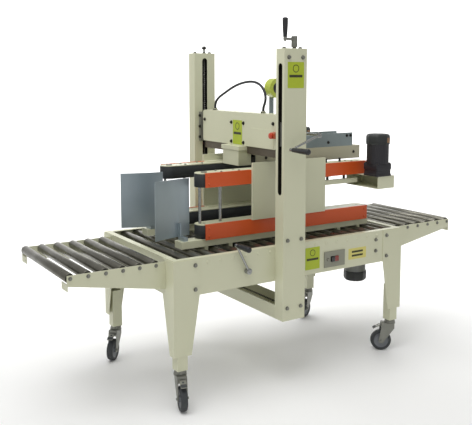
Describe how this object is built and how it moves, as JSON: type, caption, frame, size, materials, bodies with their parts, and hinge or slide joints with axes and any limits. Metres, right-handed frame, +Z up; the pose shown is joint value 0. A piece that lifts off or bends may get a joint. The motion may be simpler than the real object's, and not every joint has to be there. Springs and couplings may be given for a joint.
{
  "type": "carton sealer machine",
  "caption": "Semi-automatic carton sealer: roller bed on casters, side belt units that set to width, and a tape head that sets to height on two columns.",
  "frame": {"origin": "on the floor under the middle of the roller bed", "axes": "+X along the conveyor from infeed to outfeed, +Y to the far side away from the cranks, +Z up"},
  "size_m": [2.0758, 0.9575, 1.5783],
  "materials": {
    "cream_paint": "semi-gloss cream powder coat",
    "zinc_steel": "zinc plated",
    "screw_steel": "turned steel",
    "cartridge_steel": "grey plated plate",
    "stainless": "stainless sheet",
    "guard_orange": "orange powder coat",
    "black_rubber": "matt",
    "caster_rubber": "grey rubber",
    "motor_black": "black paint",
    "tape_yellow": "clear yellow tape",
    "stop_red": "red",
    "switch_grey": "grey",
    "switch_black": "black"
  },
  "bodies": {
    "root": {"bed_panels": "cream_paint", "bed_rollers": "zinc_steel", "bed_cross_members": "zinc_steel", "legs": "cream_paint", "roller_tables": "cream_paint", "front_column": "cream_paint", "rear_column": "cream_paint", "cross_beam": "cream_paint", "timing_chain": "zinc_steel", "lower_tape_cartridge": "zinc_steel", "switch_plate": "switch_grey", "frame_bolts": "zinc_steel"},
    "fork_near_infeed": {"caster_fork_near_infeed": "zinc_steel"},
    "wheel_near_infeed": {"caster_wheel_near_infeed": "caster_rubber"},
    "fork_near_outfeed": {"caster_fork_near_outfeed": "zinc_steel"},
    "wheel_near_outfeed": {"caster_wheel_near_outfeed": "caster_rubber"},
    "fork_far_infeed": {"caster_fork_far_infeed": "zinc_steel"},
    "wheel_far_infeed": {"caster_wheel_far_infeed": "caster_rubber"},
    "fork_far_outfeed": {"caster_fork_far_outfeed": "zinc_steel"},
    "wheel_far_outfeed": {"caster_wheel_far_outfeed": "caster_rubber"},
    "infeed_roller_1": {"infeed_roller_1": "zinc_steel"},
    "infeed_roller_2": {"infeed_roller_2": "zinc_steel"},
    "infeed_roller_3": {"infeed_roller_3": "zinc_steel"},
    "infeed_roller_4": {"infeed_roller_4": "zinc_steel"},
    "infeed_roller_5": {"infeed_roller_5": "zinc_steel"},
    "infeed_roller_6": {"infeed_roller_6": "zinc_steel"},
    "outfeed_roller_1": {"outfeed_roller_1": "zinc_steel"},
    "outfeed_roller_2": {"outfeed_roller_2": "zinc_steel"},
    "outfeed_roller_3": {"outfeed_roller_3": "zinc_steel"},
    "outfeed_roller_4": {"outfeed_roller_4": "zinc_steel"},
    "outfeed_roller_5": {"outfeed_roller_5": "zinc_steel"},
    "outfeed_roller_6": {"outfeed_roller_6": "zinc_steel"},
    "head": {"head_beam": "cream_paint", "head_carriages": "cream_paint", "press_box": "cream_paint", "upper_tape_cartridge": "cartridge_steel", "conduit": "black_rubber"},
    "front_screw": {"front_lead_screw": "screw_steel", "height_crank": "screw_steel"},
    "rear_screw": {"rear_lead_screw": "screw_steel"},
    "upper_roll": {"upper_tape_roll": "tape_yellow"},
    "stop_button": {"stop_button": "stop_red"},
    "head_crank": {"head_crank": "screw_steel"},
    "near_unit": {"near_unit_frame": "cream_paint", "near_belt_guards": "guard_orange", "near_side_belts": "black_rubber", "near_motors": "motor_black", "near_guide_plate": "stainless"},
    "near_drive_drums": {"near_drive_drums": "zinc_steel"},
    "near_idler_drums": {"near_idler_drums": "zinc_steel"},
    "far_unit": {"far_unit_frame": "cream_paint", "far_belt_guards": "guard_orange", "far_side_belts": "black_rubber", "far_motors": "motor_black", "far_guide_plate": "stainless"},
    "far_drive_drums": {"far_drive_drums": "zinc_steel"},
    "far_idler_drums": {"far_idler_drums": "zinc_steel"},
    "width_crank": {"width_crank": "screw_steel"},
    "rocker_switch": {"rocker_switch": "switch_black"},
    "lower_roll": {"lower_tape_roll": "tape_yellow"}
  },
  "joints": [
    {"name": "swivel_near_infeed", "type": "hinge", "parent": "root", "child": "fork_near_infeed", "pos_m": [-0.583, -0.321, 0.15], "axis": [0, 0, 1], "continuous": true},
    {"name": "wheel_spin_near_infeed", "type": "hinge", "parent": "fork_near_infeed", "child": "wheel_near_infeed", "pos_m": [-0.59528, -0.36117, 0.05], "axis": [0.9563, -0.2924, 0], "continuous": true},
    {"name": "swivel_near_outfeed", "type": "hinge", "parent": "root", "child": "fork_near_outfeed", "pos_m": [0.583, -0.321, 0.15], "axis": [0, 0, 1], "continuous": true},
    {"name": "wheel_spin_near_outfeed", "type": "hinge", "parent": "fork_near_outfeed", "child": "wheel_near_outfeed", "pos_m": [0.54778, -0.29812, 0.05], "axis": [-0.5446, -0.8387, 0], "continuous": true},
    {"name": "swivel_far_infeed", "type": "hinge", "parent": "root", "child": "fork_far_infeed", "pos_m": [-0.583, 0.321, 0.15], "axis": [0, 0, 1], "continuous": true},
    {"name": "wheel_spin_far_infeed", "type": "hinge", "parent": "fork_far_infeed", "child": "wheel_far_infeed", "pos_m": [-0.6127, 0.2913, 0.05], "axis": [0.7071, -0.7071, 0], "continuous": true},
    {"name": "swivel_far_outfeed", "type": "hinge", "parent": "root", "child": "fork_far_outfeed", "pos_m": [0.583, 0.321, 0.15], "axis": [0, 0, 1], "continuous": true},
    {"name": "wheel_spin_far_outfeed", "type": "hinge", "parent": "fork_far_outfeed", "child": "wheel_far_outfeed", "pos_m": [0.54493, 0.30325, 0.05], "axis": [0.4226, -0.9063, 0], "continuous": true},
    {"name": "spin_infeed_roller_1", "type": "hinge", "parent": "root", "child": "infeed_roller_1", "pos_m": [-0.664, 0, 0.586], "axis": [0, 1, 0], "continuous": true},
    {"name": "spin_infeed_roller_2", "type": "hinge", "parent": "root", "child": "infeed_roller_2", "pos_m": [-0.735, 0, 0.586], "axis": [0, 1, 0], "continuous": true},
    {"name": "spin_infeed_roller_3", "type": "hinge", "parent": "root", "child": "infeed_roller_3", "pos_m": [-0.806, 0, 0.586], "axis": [0, 1, 0], "continuous": true},
    {"name": "spin_infeed_roller_4", "type": "hinge", "parent": "root", "child": "infeed_roller_4", "pos_m": [-0.877, 0, 0.586], "axis": [0, 1, 0], "continuous": true},
    {"name": "spin_infeed_roller_5", "type": "hinge", "parent": "root", "child": "infeed_roller_5", "pos_m": [-0.948, 0, 0.586], "axis": [0, 1, 0], "continuous": true},
    {"name": "spin_infeed_roller_6", "type": "hinge", "parent": "root", "child": "infeed_roller_6", "pos_m": [-1.019, 0, 0.586], "axis": [0, 1, 0], "continuous": true},
    {"name": "spin_outfeed_roller_1", "type": "hinge", "parent": "root", "child": "outfeed_roller_1", "pos_m": [0.664, 0, 0.586], "axis": [0, 1, 0], "continuous": true},
    {"name": "spin_outfeed_roller_2", "type": "hinge", "parent": "root", "child": "outfeed_roller_2", "pos_m": [0.735, 0, 0.586], "axis": [0, 1, 0], "continuous": true},
    {"name": "spin_outfeed_roller_3", "type": "hinge", "parent": "root", "child": "outfeed_roller_3", "pos_m": [0.806, 0, 0.586], "axis": [0, 1, 0], "continuous": true},
    {"name": "spin_outfeed_roller_4", "type": "hinge", "parent": "root", "child": "outfeed_roller_4", "pos_m": [0.877, 0, 0.586], "axis": [0, 1, 0], "continuous": true},
    {"name": "spin_outfeed_roller_5", "type": "hinge", "parent": "root", "child": "outfeed_roller_5", "pos_m": [0.948, 0, 0.586], "axis": [0, 1, 0], "continuous": true},
    {"name": "spin_outfeed_roller_6", "type": "hinge", "parent": "root", "child": "outfeed_roller_6", "pos_m": [1.019, 0, 0.586], "axis": [0, 1, 0], "continuous": true},
    {"name": "head_lift", "type": "slide", "parent": "root", "child": "head", "axis": [0, 0, 1], "range_m": [-0.02, 0.24]},
    {"name": "turn_front_screw", "type": "hinge", "parent": "root", "child": "front_screw", "pos_m": [-0.057, -0.373, 1], "axis": [0, 0, 1], "continuous": true},
    {"name": "turn_rear_screw", "type": "hinge", "parent": "root", "child": "rear_screw", "pos_m": [-0.057, 0.373, 1], "axis": [0, 0, 1], "continuous": true},
    {"name": "spin_upper_roll", "type": "hinge", "parent": "head", "child": "upper_roll", "pos_m": [0.115, 0, 1.28], "axis": [0, 1, 0], "continuous": true},
    {"name": "press_stop_button", "type": "slide", "parent": "head", "child": "stop_button", "axis": [1, 0, 0], "range_m": [0, 0.004], "stiffness_N_per_m": 1200},
    {"name": "turn_head_crank", "type": "hinge", "parent": "head", "child": "head_crank", "pos_m": [0.035, -0.3, 1.087], "axis": [0, 1, 0], "continuous": true},
    {"name": "near_unit_slide", "type": "slide", "parent": "root", "child": "near_unit", "axis": [0, 1, 0], "range_m": [-0.12, 0.04]},
    {"name": "spin_near_drive_drums", "type": "hinge", "parent": "near_unit", "child": "near_drive_drums", "pos_m": [0.496, -0.16, 0.8], "axis": [0, 0, 1], "continuous": true},
    {"name": "spin_near_idler_drums", "type": "hinge", "parent": "near_unit", "child": "near_idler_drums", "pos_m": [-0.373, -0.16, 0.8], "axis": [0, 0, 1], "continuous": true},
    {"name": "far_unit_slide", "type": "slide", "parent": "root", "child": "far_unit", "axis": [0, 1, 0], "range_m": [-0.04, 0.12]},
    {"name": "spin_far_drive_drums", "type": "hinge", "parent": "far_unit", "child": "far_drive_drums", "pos_m": [0.496, 0.16, 0.8], "axis": [0, 0, 1], "continuous": true},
    {"name": "spin_far_idler_drums", "type": "hinge", "parent": "far_unit", "child": "far_idler_drums", "pos_m": [-0.373, 0.16, 0.8], "axis": [0, 0, 1], "continuous": true},
    {"name": "turn_width_crank", "type": "hinge", "parent": "root", "child": "width_crank", "pos_m": [-0.274, -0.2, 0.525], "axis": [0, 1, 0], "continuous": true},
    {"name": "rock_switch", "type": "hinge", "parent": "root", "child": "rocker_switch", "pos_m": [0.203, -0.346, 0.513], "axis": [0, 0, 1], "range_deg": [-10, 10]},
    {"name": "spin_lower_roll", "type": "hinge", "parent": "root", "child": "lower_roll", "pos_m": [0.17, 0, 0.455], "axis": [0, 1, 0], "continuous": true}
  ],
  "couplings": [
    {"joint": "turn_front_screw", "follows": "head_lift", "rad_per_m": 628.32},
    {"joint": "turn_rear_screw", "follows": "head_lift", "rad_per_m": 628.32},
    {"joint": "spin_near_idler_drums", "follows": "spin_near_drive_drums", "ratio": 1},
    {"joint": "spin_far_idler_drums", "follows": "spin_far_drive_drums", "ratio": 1},
    {"joint": "far_unit_slide", "follows": "near_unit_slide", "ratio": -1},
    {"joint": "turn_width_crank", "follows": "near_unit_slide", "rad_per_m": 628.32}
  ]
}
